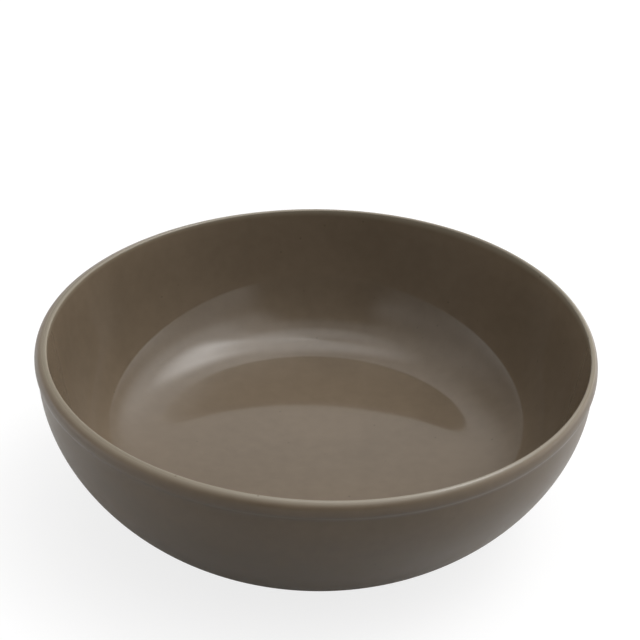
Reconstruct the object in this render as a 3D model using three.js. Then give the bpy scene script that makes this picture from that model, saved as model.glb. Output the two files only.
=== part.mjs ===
import * as THREE from 'three';

// A round stoneware salad bowl: a fired clay body that carries three coats of glaze.
// Sizes are in millimetres, +Z is up, and the origin is the middle of the foot's rest face.
// Heights are above the surface that the bowl stands on, and angles are in degrees.

// Overall sizes of the finished bowl
const RIM_DIAMETER = 250;
const HEIGHT = 84;

// Lip: a crisp inner edge, a round fall to the outside, and a draw back to the wall below
const LIP_THICKNESS = 4.4;
const LIP_EDGE_RADIUS = 0.8;
const LIP_FALL_ANGLE = 15;
const LIP_DROP = 4.8;
const LIP_STANDOFF = 1.3;
const LIP_TUCK = 4.6;
const LIP_FULLNESS = 0.65;
const TUCK_FULLNESS = 0.5;

// Outside wall: one sweep that hangs upright under the lip and turns in level at the foot
const WALL_TURN_HEIGHT = 36;
const WALL_TURN_INSET = 41;

// Inside: a wall that leans in from the lip, a close heel and a shallow dished floor
const INSIDE_LEAN_ANGLE = 10.6;
const INSIDE_TURN_DROP = 11.3;
const HEEL_REACH = 14.4;
const FLOOR_RADIUS = 66;
const FLOOR_DISH = 3.5;
const FLOOR_THICKNESS = 8.8;

// Foot ring, and the well inside it
const FOOT_DIAMETER = 131.6;
const FOOT_WIDTH = 6;
const FOOT_RISE = 2.8;
const FOOT_FILLET = 1.2;
const FOOT_BEVEL = 0.5;
const WELL_DEPTH = 6;
const WELL_FILLET = 3.5;

// Glaze coats: how thick they fired, and the clearances that they keep
const GLAZE_THICKNESS = 0.4;
const GLAZE_SEAT_GAP = 0.05;
const GLAZE_SEAM_GAP = 0.3;
const GLAZE_FOOT_MARGIN = 2.5;

// How finely the round shape is cut into flats
const RADIAL_STEPS = 64;
const WALL_STEPS = 11;
const INSIDE_STEPS = 15;
const FLOOR_STEPS = 4;
const LIP_STEPS = 4;
const SMALL_STEPS = 3;

const COAT = GLAZE_THICKNESS + GLAZE_SEAT_GAP;
const RIM_RADIUS = RIM_DIAMETER / 2;
const FOOT_RADIUS = FOOT_DIAMETER / 2;
const WELL_RADIUS = FOOT_RADIUS - FOOT_WIDTH;
const FLOOR_HEIGHT = WELL_DEPTH + FLOOR_THICKNESS;

const at = (radius, height) => new THREE.Vector2(radius, height);
const towards = (degrees) => at(1, 0).rotateAround(at(0, 0), THREE.MathUtils.degToRad(degrees));

function arc(centre, radius, fromDegrees, toDegrees) {
  const from = THREE.MathUtils.degToRad(fromDegrees);
  const to = THREE.MathUtils.degToRad(toDegrees);
  return new THREE.EllipseCurve(centre.x, centre.y, radius, radius, from, to, to < from);
}

// The finished section, drawn from the foot up the outside, over the lip and down to the middle.
// The clay is always on the left of the line.
function finishedSection() {
  const wallFoot = at(FOOT_RADIUS + FOOT_FILLET, FOOT_RISE - COAT);
  const wallTop = at(RIM_RADIUS - LIP_STANDOFF, HEIGHT - LIP_DROP - LIP_TUCK);
  const wall = new THREE.CubicBezierCurve(
    wallFoot,
    at(RIM_RADIUS - WALL_TURN_INSET, wallFoot.y),
    at(wallTop.x, WALL_TURN_HEIGHT),
    wallTop,
  );

  const widest = at(RIM_RADIUS, HEIGHT - LIP_DROP);
  const tuck = new THREE.CubicBezierCurve(
    wallTop,
    at(wallTop.x, wallTop.y + LIP_TUCK * TUCK_FULLNESS),
    at(widest.x, widest.y - LIP_TUCK * TUCK_FULLNESS),
    widest,
  );

  const edgeCentre = at(RIM_RADIUS - LIP_THICKNESS + LIP_EDGE_RADIUS, HEIGHT - LIP_EDGE_RADIUS);
  const edge = arc(edgeCentre, LIP_EDGE_RADIUS, 90 - LIP_FALL_ANGLE, 180 - INSIDE_LEAN_ANGLE);
  const crest = edge.getPoint(0);
  const crestReach = (widest.x - crest.x) * LIP_FULLNESS;
  const lip = new THREE.CubicBezierCurve(
    widest,
    at(widest.x, widest.y + LIP_DROP * LIP_FULLNESS),
    towards(-LIP_FALL_ANGLE).multiplyScalar(crestReach).add(crest),
    crest,
  );

  const insideTop = edge.getPoint(1);
  const turnHeight = WALL_TURN_HEIGHT - INSIDE_TURN_DROP;
  const lean = Math.tan(THREE.MathUtils.degToRad(INSIDE_LEAN_ANGLE));
  const floorEdge = at(FLOOR_RADIUS, FLOOR_HEIGHT + FLOOR_DISH);
  const floorSlope = FLOOR_DISH / (FLOOR_RADIUS / 2);
  const heelRadius = RIM_RADIUS - WALL_TURN_INSET + HEEL_REACH;
  const inside = new THREE.CubicBezierCurve(
    insideTop,
    at(insideTop.x - lean * (insideTop.y - turnHeight), turnHeight),
    at(heelRadius, floorEdge.y + floorSlope * (heelRadius - FLOOR_RADIUS)),
    floorEdge,
  );
  const floor = new THREE.QuadraticBezierCurve(
    floorEdge,
    at(FLOOR_RADIUS / 2, FLOOR_HEIGHT),
    at(0, FLOOR_HEIGHT),
  );
  return { wall, tuck, lip, edge, inside, floor };
}

// The well's line, from the middle of its ceiling to where it turns down into the foot ring.
function wellSection() {
  const corner = at(WELL_RADIUS - WELL_FILLET, WELL_DEPTH);
  return {
    ceiling: new THREE.LineCurve(at(0, WELL_DEPTH), corner),
    fillet: arc(at(corner.x, corner.y - WELL_FILLET), WELL_FILLET, 90, 0),
  };
}

// Stations along a curve between two distances from its start, each with its point and direction.
function stations(curve, steps, from = 0, to = curve.getLength()) {
  const length = curve.getLength();
  return Array.from({ length: steps + 1 }, (_, step) => {
    const share = THREE.MathUtils.lerp(from, to, step / steps) / length;
    return { point: curve.getPointAt(share), direction: curve.getTangentAt(share) };
  });
}

// Runs of stations joined end to end, with each shared station kept once.
const chain = (...runs) => runs.flatMap((run, index) => (index === 0 ? run : run.slice(1)));

// The line through the stations, moved to the left by an inset, which is into the clay.
const line = (run, inset) =>
  run.map(({ point, direction }) => at(point.x - direction.y * inset, point.y + direction.x * inset));

function turned(name, profile, material) {
  const geometry = new THREE.LatheGeometry(profile, RADIAL_STEPS);
  geometry.rotateX(Math.PI / 2);
  const mesh = new THREE.Mesh(geometry, new THREE.MeshStandardMaterial(material));
  mesh.name = name;
  return mesh;
}

const section = finishedSection();
const well = wellSection();
const bareBand = stations(section.wall, 1, 0, GLAZE_FOOT_MARGIN);
const glazedWall = stations(section.wall, WALL_STEPS, GLAZE_FOOT_MARGIN);
const seam = stations(section.tuck, 1, 0, GLAZE_SEAM_GAP);
const lining = chain(
  stations(section.tuck, SMALL_STEPS, GLAZE_SEAM_GAP),
  stations(section.lip, LIP_STEPS),
  stations(section.edge, SMALL_STEPS),
  stations(section.inside, INSIDE_STEPS),
  stations(section.floor, FLOOR_STEPS),
);
const wellLine = chain(stations(well.ceiling, 1), stations(well.fillet, SMALL_STEPS));

// Fired stoneware body: floor, wall, lip core and the turned foot ring, whose underside stays bare.
function clayBody() {
  const filletCentre = at(FOOT_RADIUS + FOOT_FILLET, FOOT_RISE - FOOT_FILLET);
  const footFillet = arc(filletCentre, FOOT_FILLET, 180, 90);
  const profile = [
    ...line(wellLine, 0),
    at(WELL_RADIUS, FOOT_BEVEL),
    at(WELL_RADIUS + FOOT_BEVEL, 0),
    at(FOOT_RADIUS - FOOT_BEVEL, 0),
    at(FOOT_RADIUS, FOOT_BEVEL),
    ...line(stations(footFillet, SMALL_STEPS), 0).slice(0, -1),
    ...line(chain(bareBand, glazedWall, seam, lining), COAT),
  ];
  return turned('clay_body', profile, { color: 0xb59c7d, roughness: 0.9, metalness: 0 });
}

// Gloss glaze poured inside and drawn over the lip, down to the seam under it.
function liningGlaze() {
  const profile = [...line(lining, GLAZE_THICKNESS).reverse(), ...line(lining, 0)];
  return turned('lining_glaze', profile, { color: 0x736555, roughness: 0.06, metalness: 0 });
}

// Glaze on the outside wall, from the seam under the lip to a bare band above the foot.
function outerGlaze() {
  const face = line(glazedWall, 0);
  const profile = [...face, ...line(glazedWall, GLAZE_THICKNESS).reverse(), face[0]];
  return turned('outer_glaze', profile, { color: 0x736555, roughness: 0.22, metalness: 0 });
}

// Glaze pool in the well under the floor, cut off from the rest by the bare foot ring.
function footWellGlaze() {
  const face = line(wellLine, -COAT);
  const profile = [...face, ...line(wellLine, -GLAZE_SEAT_GAP).reverse()];
  return turned('foot_well_glaze', profile, { color: 0x736555, roughness: 0.25, metalness: 0 });
}

const bowl = new THREE.Group();
bowl.name = 'salad_bowl';
bowl.add(clayBody(), liningGlaze(), outerGlaze(), footWellGlaze());

export default bowl;
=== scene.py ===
import math

import bpy
from mathutils import Euler, Matrix, Vector


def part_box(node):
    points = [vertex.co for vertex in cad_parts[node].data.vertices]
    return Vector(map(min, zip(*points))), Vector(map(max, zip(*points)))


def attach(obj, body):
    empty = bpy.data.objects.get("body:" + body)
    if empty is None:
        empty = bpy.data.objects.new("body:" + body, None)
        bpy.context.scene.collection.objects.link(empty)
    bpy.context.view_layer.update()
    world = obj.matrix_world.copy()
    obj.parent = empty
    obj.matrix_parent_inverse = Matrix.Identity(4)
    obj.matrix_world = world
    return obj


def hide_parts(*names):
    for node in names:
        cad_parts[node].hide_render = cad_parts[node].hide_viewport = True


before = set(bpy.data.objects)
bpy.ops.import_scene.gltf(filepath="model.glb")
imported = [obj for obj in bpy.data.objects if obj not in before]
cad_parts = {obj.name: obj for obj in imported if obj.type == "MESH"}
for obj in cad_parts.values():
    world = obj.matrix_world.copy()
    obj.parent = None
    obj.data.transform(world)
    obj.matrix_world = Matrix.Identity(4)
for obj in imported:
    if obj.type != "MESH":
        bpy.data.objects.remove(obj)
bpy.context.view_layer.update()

# Clay body
# One piece of buff stoneware, thrown on a wheel and then turned over to trim its low foot ring.
# The glazes cover it. It shows bare only on the foot ring and on the narrow band just above it.

RIM_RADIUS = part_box("lining_glaze")[1].x
CREST_HEIGHT = 0.084
LIP_THICKNESS = 0.0044
LIP_EDGE_RADIUS = 0.0008
LIP_FALL = math.radians(15)
LIP_DROP = 0.0048
LIP_STANDOFF = 0.0013
LIP_TUCK = 0.0046
LIP_FULLNESS = 0.65
TUCK_FULLNESS = 0.5
WALL_TURN_HEIGHT = 0.036
WALL_TURN_INSET = 0.041
INSIDE_LEAN = math.radians(10.6)
INSIDE_TURN_HEIGHT = 0.0247
HEEL_RADIUS = 0.0984
FLOOR_RADIUS = 0.066
FLOOR_DISH = 0.0035
FLOOR_HEIGHT = 0.0148
FOOT_RADIUS = 0.0658
FOOT_WIDTH = 0.006
FOOT_RISE = 0.0028
FOOT_FILLET = 0.0012
FOOT_EDGE_RADIUS = 0.0006
FOOT_GROOVE_PITCH = 0.0006
FOOT_GROOVE_DEPTH = 0.00008
WELL_DEPTH = 0.006
WELL_FILLET = 0.0035
GLAZE_THICKNESS = 0.0004
GLAZE_SEAT = 0.00005
COAT = GLAZE_THICKNESS + GLAZE_SEAT

# Thrown by hand and fired soft: the lip is a little thinner on one side, and the rim has moved
LIP_DRIFT = 0.0012
KILN_WARP = 0.0008

# How finely each stretch of the section is cut, and the turn round the axis
WALL_STEPS = 44
TUCK_STEPS = 20
LIP_STEPS = 16
LIP_EDGE_STEPS = 10
INSIDE_STEPS = 56
FLOOR_STEPS = 24
WELL_STEPS = 40
WELL_FILLET_STEPS = 12
FOOT_CORNER_STEPS = 6
GROOVE_STEPS = 6
RADIAL_STEPS = 256
ANGLES = [2 * math.pi * step / RADIAL_STEPS for step in range(RADIAL_STEPS)]
SHARP_EDGE = math.radians(40)
ON_AXIS = 1e-6


def even(steps, start=0.0, end=1.0):
    """Shares along a curve, evenly spaced."""
    return [start + (end - start) * step / steps for step in range(steps + 1)]


def bend(controls, shares):
    """Stations along a smooth curve that its controls pull: each a point and its heading."""
    stations = []
    for share in shares:
        points = [Vector(control) for control in controls]
        while len(points) > 2:
            points = [a.lerp(b, share) for a, b in zip(points, points[1:])]
        heading = (points[1] - points[0]).normalized()
        stations.append((points[0].lerp(points[1], share), heading))
    return stations


def round_corner(centre, radius, start, end, steps):
    """Stations along an arc. Angles are in radians, and a falling angle runs clockwise."""
    turn = 1 if end > start else -1
    stations = []
    for angle in even(steps, start, end):
        out = Vector((math.cos(angle), math.sin(angle)))
        stations.append((Vector(centre) + out * radius, Vector((-out.y, out.x)) * turn))
    return stations


def joined(*runs):
    """Runs of stations end to end, each shared station kept once."""
    return list(runs[0]) + [station for run in runs[1:] for station in run[1:]]


def inset(stations, depth):
    """The line through the stations, moved to their left, which is into the clay."""
    depths = depth if isinstance(depth, list) else [depth] * len(stations)
    return [
        (point.x - heading.y * step_in, point.y + heading.x * step_in)
        for (point, heading), step_in in zip(stations, depths)
    ]


# The finished section outside, from the foot up to the widest part of the lip
wall_foot = (FOOT_RADIUS + FOOT_FILLET, FOOT_RISE - COAT)
wall_top = (RIM_RADIUS - LIP_STANDOFF, CREST_HEIGHT - LIP_DROP - LIP_TUCK)
widest = (RIM_RADIUS, CREST_HEIGHT - LIP_DROP)
wall_controls = [
    wall_foot,
    (RIM_RADIUS - WALL_TURN_INSET, wall_foot[1]),
    (wall_top[0], WALL_TURN_HEIGHT),
    wall_top,
]
wall_line = bend(wall_controls, even(WALL_STEPS))
tuck_reach = LIP_TUCK * TUCK_FULLNESS
tuck_line = bend(
    [wall_top, (wall_top[0], wall_top[1] + tuck_reach), (widest[0], widest[1] - tuck_reach), widest],
    even(TUCK_STEPS),
)


def lip_thickness(angle):
    """How thick the lip is at one angle round the bowl."""
    return LIP_THICKNESS - LIP_DRIFT * math.cos(angle)


def over_and_in(angle):
    """The finished section over the lip, down the inside and to the middle, at one angle."""
    edge = round_corner(
        (RIM_RADIUS - lip_thickness(angle) + LIP_EDGE_RADIUS, CREST_HEIGHT - LIP_EDGE_RADIUS),
        LIP_EDGE_RADIUS, math.pi / 2 - LIP_FALL, math.pi - INSIDE_LEAN, LIP_EDGE_STEPS,
    )
    crest = edge[0][0]
    crest_reach = (widest[0] - crest.x) * LIP_FULLNESS
    crest_pull = (crest.x + crest_reach * math.cos(LIP_FALL), crest.y - crest_reach * math.sin(LIP_FALL))
    widest_pull = (widest[0], widest[1] + LIP_DROP * LIP_FULLNESS)
    lip = bend([widest, widest_pull, crest_pull, crest], even(LIP_STEPS))
    inside_top = edge[-1][0]
    lean_reach = (inside_top.y - INSIDE_TURN_HEIGHT) * math.tan(INSIDE_LEAN)
    floor_edge = (FLOOR_RADIUS, FLOOR_HEIGHT + FLOOR_DISH)
    floor_slope = FLOOR_DISH / (FLOOR_RADIUS / 2)
    inside = bend(
        [
            inside_top,
            (inside_top.x - lean_reach, INSIDE_TURN_HEIGHT),
            (HEEL_RADIUS, floor_edge[1] + floor_slope * (HEEL_RADIUS - FLOOR_RADIUS)),
            floor_edge,
        ],
        even(INSIDE_STEPS),
    )
    floor = bend([floor_edge, (FLOOR_RADIUS / 2, FLOOR_HEIGHT), (0, FLOOR_HEIGHT)], even(FLOOR_STEPS))
    return joined(lip, edge, inside, floor)


lining_runs = [joined(tuck_line, over_and_in(angle)) for angle in ANGLES]

# The well's line, from the middle of its ceiling to where it turns down into the foot ring
well_radius = FOOT_RADIUS - FOOT_WIDTH
well_corner = (well_radius - WELL_FILLET, WELL_DEPTH)
well_fillet_centre = (well_corner[0], WELL_DEPTH - WELL_FILLET)
well_line = joined(
    bend([(0, WELL_DEPTH), (well_corner[0] / 2, WELL_DEPTH), well_corner], even(WELL_STEPS)),
    round_corner(well_fillet_centre, WELL_FILLET, math.pi / 2, 0, WELL_FILLET_STEPS),
)

# The foot ring's line, with the fine grooves that the turning tool leaves on its rest face
foot_inner = well_radius + FOOT_EDGE_RADIUS
foot_outer = FOOT_RADIUS - FOOT_EDGE_RADIUS
groove_count = round((foot_outer - foot_inner) / FOOT_GROOVE_PITCH)
foot_face = [
    (
        foot_inner + (foot_outer - foot_inner) * share,
        FOOT_GROOVE_DEPTH * (1 - math.cos(2 * math.pi * groove_count * share)) / 2,
    )
    for share in even(groove_count * GROOVE_STEPS)
]


def foot_corner(centre, radius, start, end):
    """The points round one corner of the foot ring."""
    return inset(round_corner(centre, radius, start, end, FOOT_CORNER_STEPS), 0)


foot_outline = (
    foot_corner((foot_inner, FOOT_EDGE_RADIUS), FOOT_EDGE_RADIUS, math.pi, 1.5 * math.pi)[:-1]
    + foot_face
    + foot_corner((foot_outer, FOOT_EDGE_RADIUS), FOOT_EDGE_RADIUS, -math.pi / 2, 0)[1:]
    + foot_corner((wall_foot[0], FOOT_RISE - FOOT_FILLET), FOOT_FILLET, math.pi, math.pi / 2)[:-1]
)


def turned(name, outlines):
    """A round piece from one outline for each angle, all with the same count of points."""
    vertices, faces, loops = [], [], []
    for row, (first_radius, first_height) in enumerate(outlines[0]):
        if first_radius < ON_AXIS:
            loops.append([len(vertices)] * RADIAL_STEPS)
            vertices.append((0, 0, first_height))
            continue
        loops.append(list(range(len(vertices), len(vertices) + RADIAL_STEPS)))
        for angle, outline in zip(ANGLES, outlines):
            radius, height = outline[row]
            lift = KILN_WARP * math.sin(2 * angle) * (height / CREST_HEIGHT) ** 2
            vertices.append((radius * math.cos(angle), radius * math.sin(angle), height + lift))
    if len(set(loops[0])) > 1:
        loops.append(loops[0])
    for lower, upper in zip(loops, loops[1:]):
        for step in range(RADIAL_STEPS):
            after = (step + 1) % RADIAL_STEPS
            corners = dict.fromkeys([lower[step], lower[after], upper[after], upper[step]])
            if len(corners) > 2:
                faces.append(tuple(corners))
    mesh = bpy.data.meshes.new(name)
    mesh.from_pydata(vertices, [], faces)
    mesh.shade_smooth()
    mesh.set_sharp_from_angle(angle=SHARP_EDGE)
    piece = bpy.data.objects.new(name, mesh)
    bpy.context.scene.collection.objects.link(piece)
    return piece


clay = turned(
    "clay_piece",
    [inset(well_line, 0) + foot_outline + inset(joined(wall_line, run), COAT) for run in lining_runs],
)


def add_node(tree, kind, values=None, **settings):
    """A shader node with its settings, and with each input set to a value or wired to a socket."""
    node = tree.nodes.new("ShaderNode" + kind)
    for setting, value in settings.items():
        setattr(node, setting, value)
    for socket, value in (values or {}).items():
        if isinstance(value, bpy.types.NodeSocket):
            tree.links.new(value, node.inputs[socket])
        else:
            node.inputs[socket].default_value = value
    return node


def own_place(tree):
    """The piece's own coordinates, in metres."""
    return add_node(tree, "TexCoord").outputs["Object"]


def axis_distance(tree, place):
    """How far a place is from the bowl's axis."""
    flat = add_node(tree, "VectorMath", {0: place, 1: (1, 1, 0)}, operation="MULTIPLY")
    return add_node(tree, "VectorMath", {0: flat.outputs[0]}, operation="LENGTH").outputs["Value"]


def effect(name, inputs, outputs):
    """An empty shader group with number sockets: its tree, its input node and its output node."""
    group = bpy.data.node_groups.new(name, "ShaderNodeTree")
    for socket, value in inputs.items():
        number = group.interface.new_socket(socket, in_out="INPUT", socket_type="NodeSocketFloat")
        number.default_value = value
    for socket in outputs:
        group.interface.new_socket(socket, in_out="OUTPUT", socket_type="NodeSocketFloat")
    return group, group.nodes.new("NodeGroupInput"), group.nodes.new("NodeGroupOutput")


def place_effect(tree, group, **values):
    """The effect as a node in a material, with this material's own values."""
    node = tree.nodes.new("ShaderNodeGroup")
    node.node_tree = group
    for socket, value in values.items():
        node.inputs[socket.replace("_", " ")].default_value = value
    return node


def tint(tree, mask, under, over):
    """The colour under, with the colour over laid on where the mask is high."""
    node = add_node(tree, "Mix", {0: mask}, data_type="RGBA")
    # A mix node's colour sockets go by number, because its other kinds of socket share their names
    for socket, colour in ((node.inputs[6], under), (node.inputs[7], over)):
        if isinstance(colour, bpy.types.NodeSocket):
            tree.links.new(colour, socket)
        else:
            socket.default_value = (*colour, 1)
    return node.outputs[2]


def new_finish(name):
    """A material with its tree and its shader."""
    finish = bpy.data.materials.new(name)
    finish.use_nodes = True
    return finish, finish.node_tree, finish.node_tree.nodes["Principled BSDF"]


def vary_roughness(tree, shader, mask, low, high):
    """Roughness that goes from low to high as the mask rises."""
    spread = add_node(tree, "MapRange", {"Value": mask, "To Min": low, "To Max": high})
    tree.links.new(spread.outputs["Result"], shader.inputs["Roughness"])


def add_relief(tree, shader, height, strength, distance):
    """Fine relief on the surface, from a height that changes over it."""
    bump = add_node(tree, "Bump", {"Height": height, "Strength": strength, "Distance": distance})
    tree.links.new(bump.outputs["Normal"], shader.inputs["Normal"])


# Kiln mottle: soft clouds in the tone of a fired surface, broad ones with finer ones on them
MOTTLE_FINENESS = 7.0
MOTTLE_BROAD_SHARE = 0.65
MOTTLE_FINE_SHARE = 0.35
MOTTLE_LOW = 0.36
MOTTLE_HIGH = 0.64

mottle, mottle_in, mottle_out = effect("Kiln mottle", {"Scale": 40.0}, ["Mask"])
mottle_place = own_place(mottle)
mottle_fine = add_node(
    mottle, "Math", {0: mottle_in.outputs["Scale"], 1: MOTTLE_FINENESS}, operation="MULTIPLY"
)
broad = add_node(
    mottle, "TexNoise", {"Vector": mottle_place, "Scale": mottle_in.outputs["Scale"], "Detail": 3.0}
)
fine = add_node(
    mottle, "TexNoise", {"Vector": mottle_place, "Scale": mottle_fine.outputs[0], "Detail": 2.0}
)
fine_share = add_node(mottle, "Math", {0: fine.outputs["Fac"], 1: MOTTLE_FINE_SHARE}, operation="MULTIPLY")
clouds = add_node(
    mottle, "Math",
    {0: broad.outputs["Fac"], 1: MOTTLE_BROAD_SHARE, 2: fine_share.outputs[0]}, operation="MULTIPLY_ADD",
)
spread = add_node(
    mottle, "MapRange", {"Value": clouds.outputs[0], "From Min": MOTTLE_LOW, "From Max": MOTTLE_HIGH}
)
mottle.links.new(spread.outputs["Result"], mottle_out.inputs["Mask"])

# Grains: separate small specks of another tone, where a grain in the clay or the glaze burnt through
GRAIN_EDGE = 0.3
GRAIN_CORE = 0.12

grains, grains_in, grains_out = effect("Grains", {"Scale": 500.0, "Share": 0.1}, ["Mask"])
grain_cells = add_node(
    grains, "TexVoronoi", {"Vector": own_place(grains), "Scale": grains_in.outputs["Scale"]}
)
grain_draw = add_node(grains, "SeparateColor", {"Color": grain_cells.outputs["Color"]})
grain_chosen = add_node(
    grains, "Math", {0: grain_draw.outputs["Red"], 1: grains_in.outputs["Share"]}, operation="LESS_THAN"
)
grain_spot = add_node(
    grains, "MapRange",
    {"Value": grain_cells.outputs["Distance"], "From Min": GRAIN_EDGE, "From Max": GRAIN_CORE},
)
grain_mask = add_node(
    grains, "Math", {0: grain_chosen.outputs[0], 1: grain_spot.outputs["Result"]}, operation="MULTIPLY"
)
grains.links.new(grain_mask.outputs[0], grains_out.inputs["Mask"])

# Turning rings: the fine ridges that a tool leaves round the axis, with a little roughness of the clay
RIDGE_SHARE = 0.2

rings, rings_in, rings_out = effect("Turning rings", {"Pitch": 0.0007, "Grit": 900.0}, ["Height"])
rings_place = own_place(rings)
rings_count = add_node(
    rings, "Math", {0: axis_distance(rings, rings_place), 1: rings_in.outputs["Pitch"]}, operation="DIVIDE"
)
rings_turn = add_node(rings, "Math", {0: rings_count.outputs[0], 1: 2 * math.pi}, operation="MULTIPLY")
rings_wave = add_node(rings, "Math", {0: rings_turn.outputs[0]}, operation="SINE")
rings_grit = add_node(
    rings, "TexNoise", {"Vector": rings_place, "Scale": rings_in.outputs["Grit"], "Detail": 3.0}
)
rings_height = add_node(
    rings, "Math",
    {0: rings_wave.outputs[0], 1: RIDGE_SHARE, 2: rings_grit.outputs["Fac"]}, operation="MULTIPLY_ADD",
)
rings.links.new(rings_height.outputs[0], rings_out.inputs["Height"])

CLAY_PALE = (0.50, 0.37, 0.235)
CLAY_WARM = (0.42, 0.29, 0.172)
CLAY_FLASH = (0.30, 0.175, 0.088)
CLAY_GRIT = (0.17, 0.115, 0.072)
CLAY_SMOOTHEST = 0.82
CLAY_DRIEST = 0.94
FLASH_LOW = 0.0022
FLASH_HIGH = 0.0027
FLASH_STRENGTH = 0.7

clay_finish, clay_tree, clay_shader = new_finish("Bare fired clay")
clay_mottle = place_effect(clay_tree, mottle, Scale=70.0)
clay_grains = place_effect(clay_tree, grains, Scale=1400.0, Share=0.16)
clay_rings = place_effect(clay_tree, rings, Pitch=0.0005, Grit=2500.0)

# The bare band above the foot is flashed darker, where the glaze beside it drew into the clay
clay_height = add_node(clay_tree, "SeparateXYZ", {"Vector": own_place(clay_tree)})
clay_flash = add_node(
    clay_tree, "MapRange",
    {
        "Value": clay_height.outputs["Z"],
        "From Min": FLASH_LOW,
        "From Max": FLASH_HIGH,
        "To Max": FLASH_STRENGTH,
    },
)
clay_colour = tint(clay_tree, clay_mottle.outputs["Mask"], CLAY_WARM, CLAY_PALE)
clay_colour = tint(clay_tree, clay_flash.outputs["Result"], clay_colour, CLAY_FLASH)
clay_colour = tint(clay_tree, clay_grains.outputs["Mask"], clay_colour, CLAY_GRIT)
clay_tree.links.new(clay_colour, clay_shader.inputs["Base Color"])
vary_roughness(clay_tree, clay_shader, clay_mottle.outputs["Mask"], CLAY_SMOOTHEST, CLAY_DRIEST)
add_relief(clay_tree, clay_shader, clay_rings.outputs["Height"], strength=0.6, distance=0.00008)
clay.data.materials.append(clay_finish)
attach(clay, "root")
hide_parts("clay_body")

# Lining glaze
# Gloss taupe glaze poured into the bowl, swirled round and drawn over the lip.
# It runs down to the tuck under the lip, and is fused to the clay in the kiln.

lining = turned(
    "lining_coat", [inset(run, GLAZE_THICKNESS)[::-1] + inset(run, 0) for run in lining_runs]
)

# Glaze skin: long soft waves where the glaze levelled, with a faint peel on them
PEEL_SHARE = 0.06

skin, skin_in, skin_out = effect("Glaze skin", {"Wave Scale": 45.0, "Peel Scale": 600.0}, ["Height"])
skin_place = own_place(skin)
skin_wave = add_node(
    skin, "TexNoise", {"Vector": skin_place, "Scale": skin_in.outputs["Wave Scale"], "Detail": 1.0}
)
skin_peel = add_node(
    skin, "TexNoise", {"Vector": skin_place, "Scale": skin_in.outputs["Peel Scale"], "Detail": 1.0}
)
skin_height = add_node(
    skin, "Math",
    {0: skin_peel.outputs["Fac"], 1: PEEL_SHARE, 2: skin_wave.outputs["Fac"]}, operation="MULTIPLY_ADD",
)
skin.links.new(skin_height.outputs[0], skin_out.inputs["Height"])

# Crest break and painted highlight: the glaze runs thin over the crest of the lip and fires paler there,
# and this paler colour is set strong enough to also paint in the highlight that light puts along the crest
BREAK_AND_HIGHLIGHT_WIDTH = 0.0036
BREAK_AND_HIGHLIGHT_STRENGTH = 0.62

crest_place = (RIM_RADIUS - LIP_THICKNESS + LIP_EDGE_RADIUS, CREST_HEIGHT, 0)
break_and_highlight, break_and_highlight_in, break_and_highlight_out = effect(
    "Crest break and painted highlight", {"Width": BREAK_AND_HIGHLIGHT_WIDTH, "Strength": BREAK_AND_HIGHLIGHT_STRENGTH}, ["Mask"]
)
breaks_place = own_place(break_and_highlight)
breaks_axes = add_node(break_and_highlight, "SeparateXYZ", {"Vector": breaks_place})
breaks_centred = add_node(
    break_and_highlight, "Math",
    {0: breaks_axes.outputs["X"], 1: -LIP_DRIFT / RIM_RADIUS, 2: axis_distance(break_and_highlight, breaks_place)},
    operation="MULTIPLY_ADD",
)
breaks_section = add_node(
    break_and_highlight, "CombineXYZ", {"X": breaks_centred.outputs[0], "Y": breaks_axes.outputs["Z"]}
)
breaks_distance = add_node(
    break_and_highlight, "VectorMath", {0: breaks_section.outputs[0], 1: crest_place}, operation="DISTANCE"
)
break_and_highlight_mask = add_node(
    break_and_highlight, "MapRange",
    {
        "Value": breaks_distance.outputs["Value"],
        "From Min": break_and_highlight_in.outputs["Width"],
        "From Max": 0.0,
        "To Max": break_and_highlight_in.outputs["Strength"],
    },
    interpolation_type="SMOOTHSTEP",
)
break_and_highlight.links.new(break_and_highlight_mask.outputs["Result"], break_and_highlight_out.inputs["Mask"])

GLAZE_DEEP = (0.133, 0.1010, 0.0690)
GLAZE_PALE = (0.153, 0.1165, 0.0800)
# The crest colour is the thin glaze's paler tone, pushed paler still as a painted highlight along the lip
GLAZE_BREAK_AND_HIGHLIGHT = (0.285, 0.255, 0.195)
GLAZE_IRON = (0.117, 0.090, 0.060)
GLOSS_SMOOTHEST = 0.035
GLOSS_DULLEST = 0.055

lining_finish, lining_tree, lining_shader = new_finish("Gloss taupe glaze")
lining_mottle = place_effect(lining_tree, mottle, Scale=26.0)
lining_grains = place_effect(lining_tree, grains, Scale=420.0, Share=0.012)
lining_skin = place_effect(lining_tree, skin, Wave_Scale=45.0, Peel_Scale=600.0)
lining_break_and_highlight = place_effect(lining_tree, break_and_highlight, Width=BREAK_AND_HIGHLIGHT_WIDTH, Strength=BREAK_AND_HIGHLIGHT_STRENGTH)
lining_colour = tint(lining_tree, lining_mottle.outputs["Mask"], GLAZE_DEEP, GLAZE_PALE)
# Paler crest: partly the real glaze break, partly a painted highlight along the lip
lining_colour = tint(lining_tree, lining_break_and_highlight.outputs["Mask"], lining_colour, GLAZE_BREAK_AND_HIGHLIGHT)
lining_colour = tint(lining_tree, lining_grains.outputs["Mask"], lining_colour, GLAZE_IRON)
lining_tree.links.new(lining_colour, lining_shader.inputs["Base Color"])
vary_roughness(lining_tree, lining_shader, lining_mottle.outputs["Mask"], GLOSS_SMOOTHEST, GLOSS_DULLEST)
add_relief(lining_tree, lining_shader, lining_skin.outputs["Height"], strength=0.5, distance=0.00003)
lining.data.materials.append(lining_finish)
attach(lining, "root")
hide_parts("lining_glaze")

# Outer glaze
# The same glaze on the outside, from the tuck under the lip to a bare band above the foot.
# It is wiped back by hand, so its edge wanders a little and gathers in a soft bead.

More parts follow.
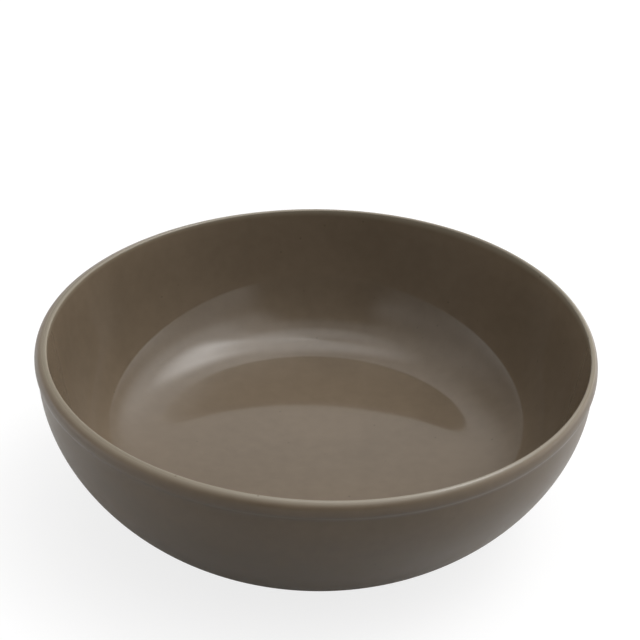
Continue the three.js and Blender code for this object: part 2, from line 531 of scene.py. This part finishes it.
GLAZE_LINE_SHARE = 0.049
GLAZE_LINE_WANDER = 0.007
WANDER_WAVES = [(5, 1, 0.6), (11, 2, 0.4)]
GLAZE_BEAD = 0.00014
GLAZE_BEAD_PLACE = 0.0011
GLAZE_BEAD_WIDTH = 0.0006
GLAZE_NOSE = 0.0006
BEAD_SHARE = 0.06
BEAD_STEPS = 16
ABOVE_BEAD_STEPS = 42


def nose_depth(distance):
    """How far the glaze lies below its full thickness, near an edge that fired round."""
    short = 1 - min(distance / GLAZE_NOSE, 1)
    return GLAZE_THICKNESS * (1 - math.sqrt(1 - short * short))


def outer_outline(angle):
    """The outer coat's section at one angle, from its wandering edge up to the tuck."""
    wander = sum(share * math.sin(count * angle + start) for count, start, share in WANDER_WAVES)
    edge = GLAZE_LINE_SHARE + GLAZE_LINE_WANDER * wander
    bead_end = edge + BEAD_SHARE
    line = bend(wall_controls, even(BEAD_STEPS, edge, bead_end)[:-1] + even(ABOVE_BEAD_STEPS, bead_end))
    depths = []
    for point, heading in line:
        distance = (point - line[0][0]).length
        bead = GLAZE_BEAD * math.exp(-(((distance - GLAZE_BEAD_PLACE) / GLAZE_BEAD_WIDTH) ** 2))
        depths.append(nose_depth(distance) - bead)
    return inset(line, depths) + inset(line, GLAZE_THICKNESS)[:0:-1]


outer = turned("outer_coat", [outer_outline(angle) for angle in ANGLES])

SATIN_SMOOTHEST = 0.32
SATIN_DULLEST = 0.40
SATIN_SHINE = 0.28
CREST_GLOSS = 0.0018

outer_finish, outer_tree, outer_shader = new_finish("Satin taupe glaze")
outer_mottle = place_effect(outer_tree, mottle, Scale=30.0)
outer_grains = place_effect(outer_tree, grains, Scale=420.0, Share=0.012)
outer_skin = place_effect(outer_tree, skin, Wave_Scale=60.0, Peel_Scale=800.0)
outer_break_and_highlight = place_effect(outer_tree, break_and_highlight, Width=BREAK_AND_HIGHLIGHT_WIDTH, Strength=BREAK_AND_HIGHLIGHT_STRENGTH)
outer_colour = tint(outer_tree, outer_mottle.outputs["Mask"], GLAZE_DEEP, GLAZE_PALE)
# Paler crest: partly the real glaze break, partly a painted highlight along the lip
outer_colour = tint(outer_tree, outer_break_and_highlight.outputs["Mask"], outer_colour, GLAZE_BREAK_AND_HIGHLIGHT)
outer_colour = tint(outer_tree, outer_grains.outputs["Mask"], outer_colour, GLAZE_IRON)
outer_tree.links.new(outer_colour, outer_shader.inputs["Base Color"])
vary_roughness(outer_tree, outer_shader, outer_mottle.outputs["Mask"], SATIN_SMOOTHEST, SATIN_DULLEST)
outer_shader.inputs["Specular IOR Level"].default_value = SATIN_SHINE
add_relief(outer_tree, outer_shader, outer_skin.outputs["Height"], strength=0.5, distance=0.00003)
outer.data.materials.append(outer_finish)

# The lining's glaze fires satin too, once it is over the crest and on the outside of the lip
lining.data.materials.append(outer_finish)
for face in lining.data.polygons:
    inner_edge = RIM_RADIUS - lip_thickness(math.atan2(face.center.y, face.center.x))
    if math.hypot(face.center.x, face.center.y) > inner_edge + CREST_GLOSS:
        face.material_index = 1
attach(outer, "root")
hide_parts("outer_glaze")

# Foot well glaze
# A pool of the same glaze in the well under the floor, brushed in after the foot was trimmed.
# The bare foot ring cuts it off from the rest, and the marks of trimming show through it.

TRIM_PITCH = 0.0048
TRIM_DEPTH = 0.00012
WELL_SMOOTHEST = 0.31
WELL_DULLEST = 0.34

well_depths = []
for point, heading in well_line:
    distance = (point - well_line[-1][0]).length
    trim = TRIM_DEPTH * math.cos(2 * math.pi * point.x / TRIM_PITCH) if heading.y == 0 else 0
    well_depths.append(nose_depth(distance) - COAT + trim)
well_outline = inset(well_line, well_depths) + inset(well_line, -GLAZE_SEAT)[::-1]
well = turned("well_coat", [well_outline] * RADIAL_STEPS)

well_finish, well_tree, well_shader = new_finish("Brushed taupe glaze")
well_mottle = place_effect(well_tree, mottle, Scale=30.0)
well_rings = place_effect(well_tree, rings, Pitch=0.0024, Grit=300.0)
well_colour = tint(well_tree, well_mottle.outputs["Mask"], GLAZE_DEEP, GLAZE_PALE)
well_tree.links.new(well_colour, well_shader.inputs["Base Color"])
vary_roughness(well_tree, well_shader, well_mottle.outputs["Mask"], WELL_SMOOTHEST, WELL_DULLEST)
add_relief(well_tree, well_shader, well_rings.outputs["Height"], strength=0.4, distance=0.00005)
well.data.materials.append(well_finish)
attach(well, "root")
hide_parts("foot_well_glaze")

# Table top
# A plain pale sheet that the bowl stands on. It looks white and keeps a soft shadow.
# It throws back less light than it shows, and the glaze mirrors it as it is lit, shadow and all.

TABLE_HALF = 8.0
TABLE_BOUNCE = (0.18, 0.18, 0.18, 1)
TABLE_SHADE = (0.22, 0.22, 0.22, 1)
TABLE_GLOW = 0.80
TABLE_MIRRORED = (0.9, 0.9, 0.9, 1)

table_corners = [
    (x * TABLE_HALF, y * TABLE_HALF, 0) for x, y in [(-1, -1), (1, -1), (1, 1), (-1, 1)]
]
table_mesh = bpy.data.meshes.new("table_top")
table_mesh.from_pydata(table_corners, [], [(0, 1, 2, 3)])
table = bpy.data.objects.new("table_top", table_mesh)
bpy.context.scene.collection.objects.link(table)

table_finish, table_tree, table_shader = new_finish("Pale table top")
table_tree.nodes.remove(table_shader)
rays = add_node(table_tree, "LightPath")
reflected = add_node(
    table_tree, "Math",
    {0: rays.outputs["Is Glossy Ray"], 1: rays.outputs["Is Transmission Ray"]}, operation="MAXIMUM",
)
bounce = add_node(table_tree, "BsdfDiffuse", {"Color": TABLE_BOUNCE})
shade = add_node(table_tree, "BsdfDiffuse", {"Color": TABLE_SHADE})
glow = add_node(table_tree, "Emission", {"Strength": TABLE_GLOW})
shown = add_node(table_tree, "AddShader", {0: shade.outputs[0], 1: glow.outputs[0]})
mirrored = add_node(table_tree, "BsdfDiffuse", {"Color": TABLE_MIRRORED})
indirect = add_node(
    table_tree, "MixShader", {0: reflected.outputs[0], 1: bounce.outputs[0], 2: mirrored.outputs[0]}
)
sheet = add_node(
    table_tree, "MixShader", {0: rays.outputs["Is Camera Ray"], 1: indirect.outputs[0], 2: shown.outputs[0]}
)
table_tree.links.new(sheet.outputs[0], table_tree.nodes["Material Output"].inputs["Surface"])
table.data.materials.append(table_finish)

# Light
# A pale room with a broad soft window high on the right, a bright ceiling and low light at both sides.
# It is dark low down on the camera's side, where the camera and its stand are.

# Brightness round the room at several heights. A height is the sine of the angle above the table,
# and the way is in compass degrees: 0 is right, 90 is behind the bowl and -90 is the camera's side.
ROOM_FULL = 10.0
ROOM_LEVELS = [
    (0.03, {
        -180: 5.0, -135: 0.5, -112: 0.05, -67: 0.05, -50: 0.4,
        -25: 2.0, 0: 6.8, 45: 3.8, 90: 0.4, 150: 3.4,
    }),
    (0.18, {
        -180: 0.9, -135: 0.35, -112: 0.05, -67: 0.05, -50: 0.7,
        -25: 0.7, 0: 1.5, 45: 1.1, 90: 0.4, 150: 0.8,
    }),
    (0.44, {
        -180: 0.55, -125: 0.58, -112: 0.05, -67: 0.06, -50: 0.55,
        -30: 0.9, 0: 1.0, 45: 0.4, 90: 0.45, 150: 0.3,
    }),
    (0.69, {
        -180: 0.7, -135: 0.45, -112: 0.08, -75: 0.08, -50: 1.1,
        -30: 1.9, 0: 2.1, 45: 1.9, 90: 1.0, 135: 0.3,
    }),
    (0.88, {-180: 0.75, -90: 0.62, -50: 1.2, -25: 2.2, 0: 6.4, 40: 5.8, 70: 1.8, 100: 0.9, 150: 0.7}),
    (0.98, {-180: 1.4, -90: 1.8, 0: 3.4, 90: 2.6}),
]

world = bpy.data.worlds.new("Studio")
bpy.context.scene.world = world
world.use_nodes = True
room = world.node_tree
room_way = add_node(room, "SeparateXYZ", {"Vector": add_node(room, "TexCoord").outputs["Generated"]})
room_angle = add_node(
    room, "Math", {0: room_way.outputs["Y"], 1: room_way.outputs["X"]}, operation="ARCTAN2"
)
room_compass = add_node(
    room, "MapRange", {"Value": room_angle.outputs[0], "From Min": -math.pi, "From Max": math.pi}
)


def round_room(levels):
    """The brightness all the way round the room at one height."""
    node = add_node(room, "ValToRGB", {"Fac": room_compass.outputs["Result"]})
    ramp = node.color_ramp
    ramp.interpolation = "EASE"
    ramp.elements.remove(ramp.elements[1])
    ramp.elements[0].position = 0
    for degrees, level in [*levels.items(), (180, levels[-180])]:
        stop = ramp.elements[0] if degrees == -180 else ramp.elements.new((degrees + 180) / 360)
        grey = level / ROOM_FULL
        stop.color = (grey, grey, grey, 1)
    return node.outputs["Color"]


room_level = round_room(ROOM_LEVELS[0][1])
for (lower, _), (upper, levels) in zip(ROOM_LEVELS, ROOM_LEVELS[1:]):
    climb = add_node(
        room, "MapRange",
        {"Value": room_way.outputs["Z"], "From Min": lower, "From Max": upper},
        interpolation_type="SMOOTHSTEP",
    )
    room_level = tint(room, climb.outputs["Result"], room_level, round_room(levels))
room.links.new(room_level, room.nodes["Background"].inputs["Color"])
room.nodes["Background"].inputs["Strength"].default_value = ROOM_FULL

# Camera
# Stands where the photograph was taken from, with a long lens in front of a full-frame sensor.
# It is aimed just off the middle of the rim, and turned a little about its own axis.

CAMERA_DISTANCE = 0.89286
CAMERA_ELEVATION = 0.5543
CAMERA_ROLL = 0.0284
CAMERA_LENS = 112.76
CAMERA_SENSOR = 36
AIM_UP = 0.00905
AIM_RIGHT = 0.00157

camera_data = bpy.data.cameras.new("Camera")
camera_data.lens = CAMERA_LENS
camera_data.sensor_width = CAMERA_SENSOR
camera = bpy.data.objects.new("Camera", camera_data)
camera.location = (
    0,
    -CAMERA_DISTANCE * math.cos(CAMERA_ELEVATION),
    CREST_HEIGHT + CAMERA_DISTANCE * math.sin(CAMERA_ELEVATION),
)
aim = Euler((math.pi / 2 - CAMERA_ELEVATION + AIM_UP, 0, -AIM_RIGHT)).to_matrix()
camera.rotation_euler = (aim @ Matrix.Rotation(CAMERA_ROLL, 3, "Z")).to_euler()
bpy.context.scene.collection.objects.link(camera)
bpy.context.scene.camera = camera

bpy.context.scene.view_settings.view_transform = "Standard"
